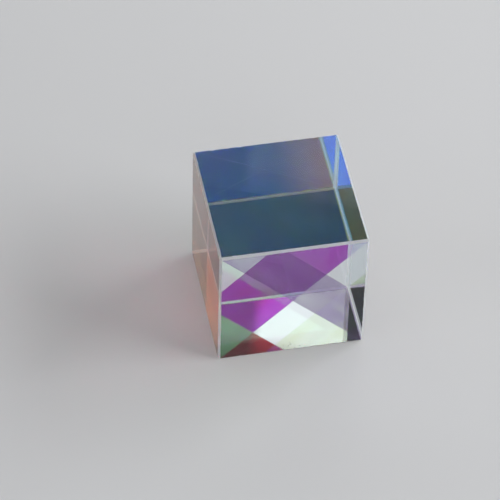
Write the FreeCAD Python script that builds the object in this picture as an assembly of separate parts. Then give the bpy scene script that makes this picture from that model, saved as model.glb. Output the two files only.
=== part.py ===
"""Cross dichroic prism cube: four right-angle glass prisms cemented into one block, with two thin
dichroic mirrors crossing along its middle.

Millimetres, +Z up. The block lies on one of its polished windows. Its crossing line runs along Y,
and the origin is the centre of the underside.

Two directions describe the joints, both square to Y. "Across" points from the lower left edge of
the block to its upper right edge, and "down" points from the upper left edge to the lower right
edge. The main joint lies where across is 0 and runs through the whole block. The two short joints
lie where down is 0, one on each side of the main joint.
"""
import FreeCAD, Part
import math
import os

# Driving dimensions
SQUARE_SIDE = 20.0         # the square section, from polished window to polished window
AXIS_LENGTH = 20.0         # end face to end face, along the line where the mirrors cross
EDGE_BEVEL = 0.30          # leg of the ground 45 degree bevel on the twelve outer edges
CEMENT_THICKNESS = 0.020   # clear optical cement between a coating and the next prism
COATING_THICKNESS = 0.005  # stack of dielectric layers on a coated prism leg

# A joint holds one coating and one layer of cement.
JOINT_THICKNESS = CEMENT_THICKNESS + COATING_THICKNESS
HALF_JOINT = JOINT_THICKNESS / 2
CENTRE_HEIGHT = SQUARE_SIDE / 2

# Outlines reach this far from the centre, outside the block, which then trims them to size.
REACH = SQUARE_SIDE


def bevelled_block():
    """The finished outside of the cube: a squared block with every edge ground at 45 degrees."""
    corner = FreeCAD.Vector(-SQUARE_SIDE / 2, -AXIS_LENGTH / 2, 0)
    block = Part.makeBox(SQUARE_SIDE, AXIS_LENGTH, SQUARE_SIDE, corner)
    return block.makeChamfer(EDGE_BEVEL, block.Edges)


def section_point(across, down):
    """A point of the section at the front end face, from its distances along the joint directions."""
    x = (across + down) / math.sqrt(2)
    z = CENTRE_HEIGHT + (across - down) / math.sqrt(2)
    return FreeCAD.Vector(x, -AXIS_LENGTH / 2, z)


def piece_of_block(outline):
    """The part of the bevelled block inside an outline, which is a list of (across, down) points."""
    points = [section_point(across, down) for across, down in outline]
    face = Part.Face(Part.makePolygon(points + points[:1]))
    column = face.extrude(FreeCAD.Vector(0, AXIS_LENGTH, 0))
    return column.common(bevelled_block()).Solids[0]


def rectangle(across, down):
    """The outline between two limits each way, each pair in any order."""
    return [
        (across[0], down[0]),
        (across[1], down[0]),
        (across[1], down[1]),
        (across[0], down[1]),
    ]


# The four prisms fill the quarters between the joints. Each is a right-angle prism whose long
# face is a window of the cube, and whose two legs meet at the crossing line.
def prism(across_side, down_side):
    """The prism in one quarter. Each side is +1 or -1, the sign of its distances that way."""
    return piece_of_block(
        rectangle(
            (across_side * HALF_JOINT, across_side * REACH),
            (down_side * HALF_JOINT, down_side * REACH),
        )
    )


# The top and bottom prisms carry the coatings, one on each leg. The legs along the main joint
# reflect blue, and the legs along the short joints reflect red.
def main_joint_coating(side):
    """The blue coating on the top prism (side +1) or the bottom prism (side -1)."""
    return piece_of_block(
        rectangle(
            (side * (HALF_JOINT - COATING_THICKNESS), side * HALF_JOINT),
            (-side * HALF_JOINT, -side * REACH),
        )
    )


def short_joint_coating(side):
    """The red coating on the top prism (side +1) or the bottom prism (side -1)."""
    return piece_of_block(
        rectangle(
            (side * HALF_JOINT, side * REACH),
            (-side * HALF_JOINT, -side * (HALF_JOINT - COATING_THICKNESS)),
        )
    )


# Cement fills what the coatings leave of each joint. Each short joint is made first, which gives
# two half cubes, and the main joint then joins the halves.
def short_joint_cement(side):
    """The cement of the upper short joint (side +1) or the lower one (side -1)."""
    return piece_of_block(
        rectangle(
            (side * HALF_JOINT, side * REACH),
            (-side * (HALF_JOINT - COATING_THICKNESS), side * HALF_JOINT),
        )
    )


def main_joint_cement():
    """The one layer that joins the halves. It steps round the end of each coating at the centre."""
    coated = HALF_JOINT - COATING_THICKNESS
    half = [(-HALF_JOINT, -REACH), (coated, -REACH), (coated, -HALF_JOINT), (HALF_JOINT, -HALF_JOINT)]
    other_half = [(-across, -down) for across, down in half]
    return piece_of_block(half + other_half)


def make_pieces():
    """Every piece of the cube by name."""
    return {
        "top_prism": prism(+1, -1),
        "right_prism": prism(+1, +1),
        "bottom_prism": prism(-1, +1),
        "left_prism": prism(-1, -1),
        "blue_coating_on_top_prism": main_joint_coating(+1),
        "blue_coating_on_bottom_prism": main_joint_coating(-1),
        "red_coating_on_top_prism": short_joint_coating(+1),
        "red_coating_on_bottom_prism": short_joint_coating(-1),
        "upper_joint_cement": short_joint_cement(+1),
        "lower_joint_cement": short_joint_cement(-1),
        "main_joint_cement": main_joint_cement(),
    }


os.makedirs("parts", exist_ok=True)
for name, shape in make_pieces().items():
    shape.exportStep("parts/" + name + ".step")
    print(name, "volume", round(shape.Volume, 4), "mm3")
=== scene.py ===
import math
import random

import bmesh
import bpy
from mathutils import Matrix, Vector


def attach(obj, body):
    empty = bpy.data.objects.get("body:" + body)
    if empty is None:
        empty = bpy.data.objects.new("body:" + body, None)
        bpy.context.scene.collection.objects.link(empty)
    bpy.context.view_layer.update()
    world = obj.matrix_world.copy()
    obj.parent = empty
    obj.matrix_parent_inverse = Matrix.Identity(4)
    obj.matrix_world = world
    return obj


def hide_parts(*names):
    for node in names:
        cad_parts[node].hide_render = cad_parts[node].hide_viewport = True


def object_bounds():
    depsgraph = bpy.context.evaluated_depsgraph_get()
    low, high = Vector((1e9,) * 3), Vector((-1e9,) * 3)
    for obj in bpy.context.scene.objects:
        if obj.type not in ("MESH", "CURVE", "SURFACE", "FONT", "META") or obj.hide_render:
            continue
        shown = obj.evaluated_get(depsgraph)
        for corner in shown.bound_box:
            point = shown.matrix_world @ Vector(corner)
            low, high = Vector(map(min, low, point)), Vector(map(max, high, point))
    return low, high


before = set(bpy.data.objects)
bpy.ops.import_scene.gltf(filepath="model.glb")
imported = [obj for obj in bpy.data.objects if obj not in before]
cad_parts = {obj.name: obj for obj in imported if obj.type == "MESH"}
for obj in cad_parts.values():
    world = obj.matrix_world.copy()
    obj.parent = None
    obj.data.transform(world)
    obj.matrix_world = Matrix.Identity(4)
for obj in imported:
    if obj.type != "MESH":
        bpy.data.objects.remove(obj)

cad_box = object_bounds()

# The glass. Four right-angle prisms of borosilicate crown, sawn from a block, ground and then
# polished on the long face, the two legs and both ends. The twelve outer edges of the finished
# cube are ground to narrow 45 degree bevels, which stay grey and catch the light.
MM = 0.001
low, high = cad_box
square_side = high.z - low.z
axis_length = high.y - low.y
centre = (low + high) / 2
bevel_leg = 0.30 * MM
half_joint = 0.0125 * MM

# Hand work leaves the border between a bevel and a polished face a little uneven, with small
# chips. Points stand this far apart along a border, and the wander has three waves to it.
border_step = 0.2 * MM
border_wander = 0.012 * MM
waves_per_mm = (0.7, 1.9, 4.3)
chips_per_border = 6
deepest_chip = 0.08 * MM
chip_spread = 2.2

# One larger nick lies in the bevel under the rear of the cube, left of the middle. It broke out
# clean, so it is clear where the bevel round it is grey.
nicks = {"bottom_prism": Vector((-5.6 * MM, high.y, low.z))}
nick_depth = 0.16 * MM
nick_width = 0.7 * MM

# A trace of film from cleaning lies on the polished faces, in patches a few millimetres across.
film_patch = 3.5 * MM
most_film = 0.004

# Dust lies on the face that the cube rests on, thickest by the middle of its front edge.
dust_middle = Vector((0.2 * MM, -9.0 * MM, low.z))
thick_dust_reach = 1.0 * MM
dust_reach = 2.6 * MM
speck_spacing = 0.55 * MM
heaviest_speck = 0.6

# The pits of the ground bevels are 20 to 40 microns across. They are too fine to show, so they are
# drawn at 80 microns.
pit_width = 0.08 * MM
pit_depth = 0.015 * MM

crown_index = 1.517
POLISHED, GROUND, BONDED, DUSTY = 0, 1, 2, 3


def add_node(owner, kind, inputs=None, stops=None, **settings):
    """Adds one shader node. Inputs maps a socket to its value, or to the output that feeds it."""
    node = owner.node_tree.nodes.new("ShaderNode" + kind)
    for name, value in settings.items():
        setattr(node, name, value)
    for socket, value in (inputs or {}).items():
        if isinstance(value, bpy.types.NodeSocket):
            owner.node_tree.links.new(value, node.inputs[socket])
        else:
            node.inputs[socket].default_value = value
    for count, (position, colour) in enumerate(sorted((stops or {}).items())):
        ramp = node.color_ramp.elements
        stop = ramp[count] if count < 2 else ramp.new(1.0)
        stop.position = position
        stop.color = colour
    return node


def new_material(name):
    """An empty node material and its output node."""
    material = bpy.data.materials.new(name)
    material.use_nodes = True
    material.node_tree.nodes.clear()
    return material, add_node(material, "OutputMaterial")


def linear(colour):
    """An sRGB hex colour as the linear numbers that the shaders use."""
    channels = [int(colour[i:i + 2], 16) / 255 for i in (1, 3, 5)]
    straight = [c / 12.92 if c <= 0.04045 else ((c + 0.055) / 1.055) ** 2.4 for c in channels]
    return (*straight, 1.0)


def cut(blank, point, normal, finish):
    """Cuts away what lies beyond a plane, and closes the cut with a face of the given finish."""
    everything = blank.verts[:] + blank.edges[:] + blank.faces[:]
    made = bmesh.ops.bisect_plane(
        blank, geom=everything, plane_co=point, plane_no=normal, clear_outer=True, dist=1e-9
    )
    rim = [part for part in made["geom_cut"] if isinstance(part, bmesh.types.BMEdge)]
    for face in bmesh.ops.contextual_create(blank, geom=rim)["faces"]:
        face.material_index = finish


def top_quarter():
    """The top prism as a closed mesh. The other three are the same shape, turned."""
    half_side = square_side / 2
    half_length = axis_length / 2
    blank = bmesh.new()
    bmesh.ops.create_cube(blank, size=4 * square_side, matrix=Matrix.Translation(centre))
    window = centre + Vector((0, 0, half_side))
    cut(blank, window, Vector((0, 0, 1)), POLISHED)
    for side in (-1, 1):
        end = centre + Vector((0, side * half_length, 0))
        leg = Vector((side, 0, -1)).normalized()
        edge_point = window + Vector((side * (half_side - bevel_leg), 0, 0))
        end_point = window + Vector((0, side * (half_length - bevel_leg), 0))
        cut(blank, end, Vector((0, side, 0)), POLISHED)
        cut(blank, centre - half_joint * leg, leg, BONDED)
        cut(blank, edge_point, Vector((side, 0, 1)).normalized(), GROUND)
        cut(blank, end_point, Vector((0, side, 1)).normalized(), GROUND)
    return blank


def fray_borders(blank, dice, nick):
    """Gives each border of a bevel a slight wander and a few chips, and puts in the nick."""
    for border in blank.edges[:]:
        finishes = sorted(face.material_index for face in border.link_faces)
        length = border.calc_length()
        if finishes != [POLISHED, GROUND] or length < axis_length / 3:
            continue
        polished = min(border.link_faces, key=lambda face: face.material_index)
        start = border.verts[0].co.copy()
        along = (border.verts[1].co - start).normalized()
        inward = polished.normal.cross(along)
        if inward.dot(polished.calc_center_median() - start) < 0:
            inward.negate()
        phases = [dice.uniform(0, math.tau) for _ in waves_per_mm]
        chips = [
            (dice.uniform(0.03, 0.97) * length, deepest_chip * dice.uniform(0.3, 1.0) ** 2)
            for _ in range(chips_per_border)
        ]
        if nick:
            nick_place = (nick - start).dot(along)
            if (start + nick_place * along - nick).length < 2 * bevel_leg:
                chips.append((nick_place, nick_depth))
        made = bmesh.ops.bisect_edges(blank, edges=[border], cuts=int(length / border_step))
        for point in {part for part in made["geom_split"] if isinstance(part, bmesh.types.BMVert)}:
            reach = (point.co - start).dot(along)
            if not border_step / 2 < reach < length - border_step / 2:
                continue
            waves = [math.sin(rate * reach / MM + phase) for rate, phase in zip(waves_per_mm, phases)]
            depth = border_wander * sum(waves) / len(waves)
            for place, bite in chips:
                reach_of_bite = chip_spread * bite + border_step
                depth += bite * max(0.0, 1 - abs(reach - place) / reach_of_bite) ** 0.5
            point.co += inward * depth
    strips = [face for face in blank.faces if face.material_index == GROUND]
    bmesh.ops.triangulate(blank, faces=strips, ngon_method="BEAUTY")
    for face in blank.faces:
        in_nick = nick and (face.calc_center_median() - nick).length < nick_width / 2
        if in_nick and face.material_index == GROUND:
            face.material_index = POLISHED


def polished_glass(name, dusty):
    """The polished faces: bright and clear, with a trace of film that greys the glass very slightly.

    On the dusty face, specks of about 0.1 mm show as small grey dots.
    """
    material, out = new_material(name)
    place = add_node(material, "TexCoord").outputs["Object"]
    film = add_node(material, "TexNoise", {"Vector": place, "Scale": 1 / film_patch, "Detail": 4.0})
    share = add_node(
        material,
        "MapRange",
        {"Value": film.outputs[0], "From Min": 0.45, "From Max": 0.8, "To Min": 0.0, "To Max": most_film},
    )
    glass = add_node(
        material, "BsdfGlass", {"IOR": crown_index, "Roughness": 0.0, "Color": linear("#FBFEFF")}
    )
    grey = add_node(material, "BsdfDiffuse", {"Color": linear("#E4E6E8")})
    face = add_node(material, "MixShader", {0: share.outputs[0], 1: glass.outputs[0], 2: grey.outputs[0]})
    if dusty:
        specks = add_node(material, "TexVoronoi", {"Vector": place, "Scale": 1 / speck_spacing})
        weight = add_node(
            material,
            "MapRange",
            {
                "Value": specks.outputs["Distance"],
                "From Min": 0.26,
                "From Max": 0.14,
                "To Min": 0.0,
                "To Max": heaviest_speck,
            },
        )
        reach = add_node(material, "VectorMath", {0: place, 1: dust_middle}, operation="DISTANCE")
        where = add_node(
            material,
            "MapRange",
            {
                "Value": reach.outputs["Value"],
                "From Min": thick_dust_reach,
                "From Max": dust_reach,
                "To Min": 1.0,
                "To Max": 0.0,
            },
        )
        cover = add_node(material, "Math", {0: weight.outputs[0], 1: where.outputs[0]}, operation="MULTIPLY")
        dust = add_node(material, "BsdfDiffuse", {"Color": linear("#9A988C")})
        face = add_node(material, "MixShader", {0: cover.outputs[0], 1: face.outputs[0], 2: dust.outputs[0]})
    material.node_tree.links.new(face.outputs[0], out.inputs["Surface"])
    return material


def ground_glass():
    """The bevels: ground with loose grit and never polished, so their pits scatter light to white."""
    material, out = new_material("crown_glass_ground")
    place = add_node(material, "TexCoord").outputs["Object"]
    pits = add_node(material, "TexNoise", {"Vector": place, "Scale": 1 / pit_width, "Detail": 2.0})
    bump = add_node(material, "Bump", {"Strength": 0.6, "Distance": pit_depth, "Height": pits.outputs[0]})
    rough = bump.outputs[0]
    glass = add_node(
        material,
        "BsdfGlass",
        {"IOR": crown_index, "Roughness": 0.45, "Color": linear("#FFFFFF"), "Normal": rough},
    )
    white = add_node(material, "BsdfDiffuse", {"Color": linear("#FAFDFF"), "Normal": rough})
    through = add_node(material, "BsdfTranslucent", {"Color": linear("#FAFDFF"), "Normal": rough})
    scatter = add_node(material, "MixShader", {0: 0.5, 1: white.outputs[0], 2: through.outputs[0]})
    share = add_node(
        material,
        "MapRange",
        {"Value": pits.outputs[0], "From Min": 0.35, "From Max": 0.65, "To Min": 0.65, "To Max": 0.9},
    )
    mix = add_node(material, "MixShader", {0: share.outputs[0], 1: glass.outputs[0], 2: scatter.outputs[0]})
    material.node_tree.links.new(mix.outputs[0], out.inputs["Surface"])
    return material


def bonded_glass():
    """The legs: cement wets them and has nearly the glass's index, so light goes straight through."""
    material, out = new_material("crown_glass_bonded")
    clear = add_node(material, "BsdfTransparent", {"Color": linear("#FFFFFF")})
    material.node_tree.links.new(clear.outputs[0], out.inputs["Surface"])
    return material


glass_faces = [
    polished_glass("crown_glass_polished", dusty=False),
    ground_glass(),
    bonded_glass(),
    polished_glass("crown_glass_dusty", dusty=True),
]

# The four prisms are one shape, turned about the line where their legs meet.
quarter_turns = {"top_prism": 0, "right_prism": 1, "bottom_prism": 2, "left_prism": 3}


def turned(turns):
    """A turn about the crossing line, by quarters, from the top towards the right."""
    there = Matrix.Translation(centre)
    return there @ Matrix.Rotation(turns * math.pi / 2, 4, "Y") @ there.inverted()


def finished_piece(name, mesh_code, materials):
    """Turns mesh code into an object that rides with the block."""
    mesh = bpy.data.meshes.new(name)
    bmesh.ops.recalc_face_normals(mesh_code, faces=mesh_code.faces)
    mesh_code.to_mesh(mesh)
    mesh_code.free()
    for material in materials:
        mesh.materials.append(material)
    piece = bpy.data.objects.new(name, mesh)
    bpy.context.scene.collection.objects.link(piece)
    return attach(piece, "root")


for node, turns in quarter_turns.items():
    prism = top_quarter()
    nick = nicks.get(node)
    fray_borders(prism, random.Random(11 + turns), nick and turned(turns).inverted() @ nick)
    prism.transform(turned(turns))
    prism.normal_update()
    for face in prism.faces:
        if face.normal.z < -0.999:
            face.material_index = DUSTY
    piece = finished_piece(node + "_glass", prism, glass_faces)
    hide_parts(node)

# The coatings. Each is a stack of thin dielectric layers, evaporated in a vacuum onto one leg of
# the top and bottom prisms. One stack reflects blue and the other red, and what isn't reflected
# passes. Both shift towards shorter waves as light meets them at a flatter angle.
coating_thickness = 0.005 * MM
coating_margin = 0.003 * MM
layer_inset = 0.00125 * MM

# The stacks aren't quite even: their thickness drifts slowly over each leg, and the colours with it.
drift_width = 9.0 * MM
drift_shift = 0.03
CLEAR, MIRROR = 0, 1


def dichroic_stack(name, passed, reflected, drift_seed):
    """One evaporated stack: a clear tinted mirror, whose colours change with the angle of the light.

    Passed and reflected give those colours by the angle from square, in degrees.
    """
    material, out = new_material(name)
    angle = add_node(material, "LayerWeight", {"Blend": 0.5})
    place = add_node(material, "TexCoord").outputs["Object"]
    drift = add_node(
        material,
        "TexNoise",
        {"Vector": place, "W": drift_seed, "Scale": 1 / drift_width, "Detail": 1.0},
        noise_dimensions="4D",
    )
    shift = add_node(
        material,
        "MapRange",
        {
            "Value": drift.outputs[0],
            "From Min": 0.3,
            "From Max": 0.7,
            "To Min": -drift_shift,
            "To Max": drift_shift,
        },
    )
    shifted = add_node(material, "Math", {0: angle.outputs["Facing"], 1: shift.outputs[0]}, operation="ADD")
    # Facing is 1 less the cosine of the angle from square, so the colours stand at those places.
    tints = []
    for colours in (passed, reflected):
        stops = {1 - math.cos(math.radians(a)): linear(colour) for a, colour in colours.items()}
        tints.append(add_node(material, "ValToRGB", {0: shifted.outputs[0]}, stops=stops).outputs[0])
    clear = add_node(material, "BsdfTransparent", {"Color": tints[0]})
    mirror = add_node(material, "BsdfGlossy", {"Color": tints[1], "Roughness": 0.0})
    both = add_node(material, "AddShader", {0: clear.outputs[0], 1: mirror.outputs[0]})
    material.node_tree.links.new(both.outputs[0], out.inputs["Surface"])
    return material


# The blue stack is nearly clear square on. As the light flattens it passes orange, pale green, yellow
# and then nearly all, and past 70 degrees it is mostly a mirror. It reflects deep blue at 45 degrees.
blue_stack = dichroic_stack(
    "blue_reflecting_stack",
    passed={
        0: "#EDCBDA",
        28: "#F99550",
        45: "#A2CEBC",
        56: "#D7D459",
        65: "#ECF8DA",
        75: "#73696F",
        88: "#595959",
    },
    reflected={
        0: "#59957C",
        28: "#3FAABC",
        45: "#194595",
        56: "#272786",
        65: "#6C4590",
        75: "#ADA0C2",
        88: "#E7E7E7",
    },
    drift_seed=3.1,
)

# The red stack is clear square on. It passes cyan at 45 degrees, and purple and then dark red at
# flatter angles. It reflects a dull orange red at 45 degrees, then green, and at last white.
red_stack = dichroic_stack(
    "red_reflecting_stack",
    passed={
        0: "#F3F3F9",
        28: "#F9CBAA",
        45: "#89D4F1",
        56: "#AA7CD3",
        66: "#B530C2",
        70.5: "#AA1D38",
        78: "#861621",
    },
    reflected={
        0: "#303030",
        28: "#59616C",
        45: "#AD7659",
        56: "#95AA89",
        66: "#ADF8B8",
        74: "#DAFFFC",
        86: "#E7E7E7",
    },
    drift_seed=7.4,
)

upper_left = Vector((-1, 0, 1)).normalized()
upper_right = Vector((1, 0, 1)).normalized()


def coated_layer(outward, into_prism):
    """The coating on one leg of the top prism, held just inside its share of the joint.

    One of its faces is the mirror, so light meets the stack only once on its way through.
    """
    blank = bmesh.new()
    bmesh.ops.create_cube(blank, size=4 * square_side, matrix=Matrix.Translation(centre))
    edge_reach = (square_side - bevel_leg) / math.sqrt(2) - coating_margin
    mirror_depth = half_joint - coating_thickness + layer_inset
    cut(blank, centre + edge_reach * outward, outward, CLEAR)
    cut(blank, centre + half_joint * outward, -outward, CLEAR)
    cut(blank, centre + (half_joint - layer_inset) * into_prism, into_prism, CLEAR)
    cut(blank, centre + mirror_depth * into_prism, -into_prism, MIRROR)
    half_length = axis_length / 2 - coating_margin
    bevel_reach = (square_side + axis_length - 2 * bevel_leg) / 2 / math.sqrt(2) - coating_margin
    for side in (-1, 1):
        end = Vector((0, side, 0))
        bevel = Vector((0, side, 1)).normalized()
        cut(blank, centre + half_length * end, end, CLEAR)
        cut(blank, centre + bevel_reach * bevel, bevel, CLEAR)
    return blank


coatings = {
    "blue_coating_on_top_prism": (blue_stack, upper_left, upper_right, 0),
    "blue_coating_on_bottom_prism": (blue_stack, upper_left, upper_right, 2),
    "red_coating_on_top_prism": (red_stack, upper_right, upper_left, 0),
    "red_coating_on_bottom_prism": (red_stack, upper_right, upper_left, 2),
}
for node, (stack, outward, into_prism, turns) in coatings.items():
    layer = coated_layer(outward, into_prism)
    layer.transform(turned(turns))
    piece = finished_piece(node + "_stack", layer, [glass_faces[BONDED], stack])
    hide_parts(node)

# The cement. A clear resin, set by ultraviolet light, fills each joint in a layer of 0.02 mm. Its
# thin ends were ground and polished with the glass, and show as faint lines along the joints.
cement_index = 1.55
cloud_width = 0.8 * MM

# The outer ends of the layers lie on the bevels, further than this from the crossing line.
ground_end_reach = 0.69 * square_side


def cement_end():
    """The ends of the layers: a little softer than the glass, so they polish slightly cloudy."""
    material, out = new_material("optical_cement_end")
    place = add_node(material, "TexCoord").outputs["Object"]
    clouds = add_node(material, "TexNoise", {"Vector": place, "Scale": 1 / cloud_width, "Detail": 2.0})
    share = add_node(
        material,
        "MapRange",
        {"Value": clouds.outputs[0], "From Min": 0.3, "From Max": 0.7, "To Min": 0.01, "To Max": 0.12},
    )
    clear = add_node(
        material, "BsdfGlass", {"IOR": cement_index, "Roughness": 0.0, "Color": linear("#FDFBF2")}
    )
    cloudy = add_node(material, "BsdfDiffuse", {"Color": linear("#EFEBDD")})
    mix = add_node(material, "MixShader", {0: share.outputs[0], 1: clear.outputs[0], 2: cloudy.outputs[0]})
    material.node_tree.links.new(mix.outputs[0], out.inputs["Surface"])
    return material


cement_faces = [cement_end(), glass_faces[GROUND], glass_faces[BONDED]]
for node in ("upper_joint_cement", "lower_joint_cement", "main_joint_cement"):
    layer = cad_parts[node]
    layer.data.materials.clear()
    for material in cement_faces:
        layer.data.materials.append(material)
    for face in layer.data.polygons:
        middle = layer.matrix_world @ face.center - centre
        from_crossing = math.hypot(middle.x, middle.z)
        if abs(face.normal.y) > 0.9:
            face.material_index = POLISHED
        elif abs(face.normal.y) > 0.1 or from_crossing > ground_end_reach:
            face.material_index = GROUND
        else:
            face.material_index = BONDED

# The floor. A flat board with pale grey satin paint, rolled on and left smooth, which gives it a
# soft broad sheen. It lies a hair below the cube, so that the two faces don't share one plane.
floor_reach = 2.0
floor_gap = 0.01 * MM
floor_code = bmesh.new()
bmesh.ops.create_grid(floor_code, x_segments=1, y_segments=1, size=floor_reach)
floor_mesh = bpy.data.meshes.new("floor")
floor_code.to_mesh(floor_mesh)
floor_code.free()
floor = bpy.data.objects.new("floor", floor_mesh)
bpy.context.scene.collection.objects.link(floor)
floor.location.z = low.z - floor_gap
board, out = new_material("satin_painted_board")
paint = add_node(board, "BsdfPrincipled", {"Base Color": linear("#D6D7D9"), "Roughness": 0.36, "IOR": 1.5})
board.node_tree.links.new(paint.outputs[0], out.inputs["Surface"])
floor_mesh.materials.append(board)

# The camera. It looks down on the front end face from a little to the left, with a long lens, as
# the photograph does. Its place was fitted to the outline of the cube and the lines of its bevels.
camera_azimuth = math.radians(-12.10)
camera_elevation = math.radians(47.33)
camera_roll = math.radians(1.63)
camera_distance = 422.0 * MM
cube_right_of_middle = 3.813 * MM
cube_above_middle = 0.488 * MM

camera_data = bpy.data.cameras.new("camera")
camera_data.sensor_width = 36
camera_data.lens = 225.6
camera_data.clip_start = 0.02
camera_data.clip_end = 20
camera = bpy.data.objects.new("camera", camera_data)
bpy.context.scene.collection.objects.link(camera)
back = Vector((
    math.sin(camera_azimuth) * math.cos(camera_elevation),
    -math.cos(camera_azimuth) * math.cos(camera_elevation),
    math.sin(camera_elevation),
))
level_right = (-back).cross(Vector((0, 0, 1))).normalized()
level_up = level_right.cross(-back)
right = math.cos(camera_roll) * level_right + math.sin(camera_roll) * level_up
up = math.cos(camera_roll) * level_up - math.sin(camera_roll) * level_right
aim = centre - cube_right_of_middle * right - cube_above_middle * up
turn = Matrix((right, up, back)).transposed()
camera.matrix_world = Matrix.Translation(aim + camera_distance * back) @ turn.to_4x4()
bpy.context.scene.camera = camera

# The light. One softbox stands close behind and above the cube, and shows in it as the white and
# the yellow patches. Its left side and its top are dimmed by flags, which give the soft borders
# inside the glass. Larger softboxes further off fill in round it, and the room is almost dark.
world = bpy.data.worlds.new("room")
bpy.context.scene.world = world
world.use_nodes = True
room_light = world.node_tree.nodes["Background"].inputs
room_light["Color"].default_value = linear("#FFFFFF")
room_light["Strength"].default_value = 0.015


def soft_light(name, azimuth, elevation, width, height, radiance, across=None, upward=None, distance=1.0):
    """A softbox that faces the cube. Azimuth is measured from the back towards the right, in degrees.

    Across and upward give the share of light that its flags let by, from its right side to its left
    as the cube sees it, and from its bottom to its top. Its power follows from its radiance and area.
    """
    lamp = bpy.data.lights.new(name, "AREA")
    lamp.shape = "RECTANGLE"
    lamp.size = width
    lamp.size_y = height
    lamp.energy = radiance * math.pi * width * height
    lamp.use_nodes = True
    cloth = add_node(lamp, "NewGeometry")
    place = add_node(lamp, "SeparateXYZ", {0: cloth.outputs["Parametric"]})
    share = 1.0
    for axis, flags in enumerate((across, upward)):
        if flags:
            greys = {position: (part, part, part, 1) for position, part in flags.items()}
            fall = add_node(lamp, "ValToRGB", {0: place.outputs[axis]}, stops=greys)
            product = add_node(lamp, "Math", {0: fall.outputs[0], 1: share}, operation="MULTIPLY")
            share = product.outputs[0]
            lamp.node_tree.links.new(share, lamp.node_tree.nodes["Emission"].inputs["Strength"])
    holder = bpy.data.objects.new(name, lamp)
    bpy.context.scene.collection.objects.link(holder)
    a, e = math.radians(azimuth), math.radians(elevation)
    direction = Vector((math.sin(a) * math.cos(e), math.cos(a) * math.cos(e), math.sin(e)))
    holder.location = centre + distance * direction
    holder.rotation_mode = "QUATERNION"
    holder.rotation_quaternion = direction.to_track_quat("Z", "Y")


soft_light(
    "behind_above",
    azimuth=21.5,
    elevation=39.7,
    width=0.118,
    height=0.0632,
    radiance=0.93,
    across={0: 1, 0.722: 1, 0.742: 0.33, 0.8: 0.33, 1: 0.12},
    upward={0: 1, 0.905: 1, 0.945: 0.6, 1: 0.3},
    distance=0.2,
)
soft_light("overhead", azimuth=0, elevation=88, width=1.15, height=1.15, radiance=0.47)
soft_light("behind_low", azimuth=0, elevation=22, width=1.8, height=0.6, radiance=0.8)
soft_light("right_behind", azimuth=72, elevation=28, width=0.5, height=0.4, radiance=6.0)
soft_light("right", azimuth=108, elevation=26, width=0.6, height=0.6, radiance=6.0)
soft_light("left", azimuth=265, elevation=26, width=0.9, height=0.6, radiance=1.15)
soft_light("front", azimuth=180, elevation=28, width=0.9, height=0.5, radiance=1.05)
soft_light("right_front", azimuth=135, elevation=12, width=0.45, height=0.25, radiance=2.4)
soft_light(
    "left_front",
    azimuth=225,
    elevation=18,
    width=0.6,
    height=0.32,
    radiance=1.1,
    upward={0: 0, 0.15: 1, 1: 1},
)

# Light crosses many faces and coatings on its way through the cube, so it gets many bounces.
scene = bpy.context.scene
scene.view_settings.view_transform = "Standard"
scene.cycles.max_bounces = 40
scene.cycles.glossy_bounces = 32
scene.cycles.transmission_bounces = 32
scene.cycles.transparent_max_bounces = 256
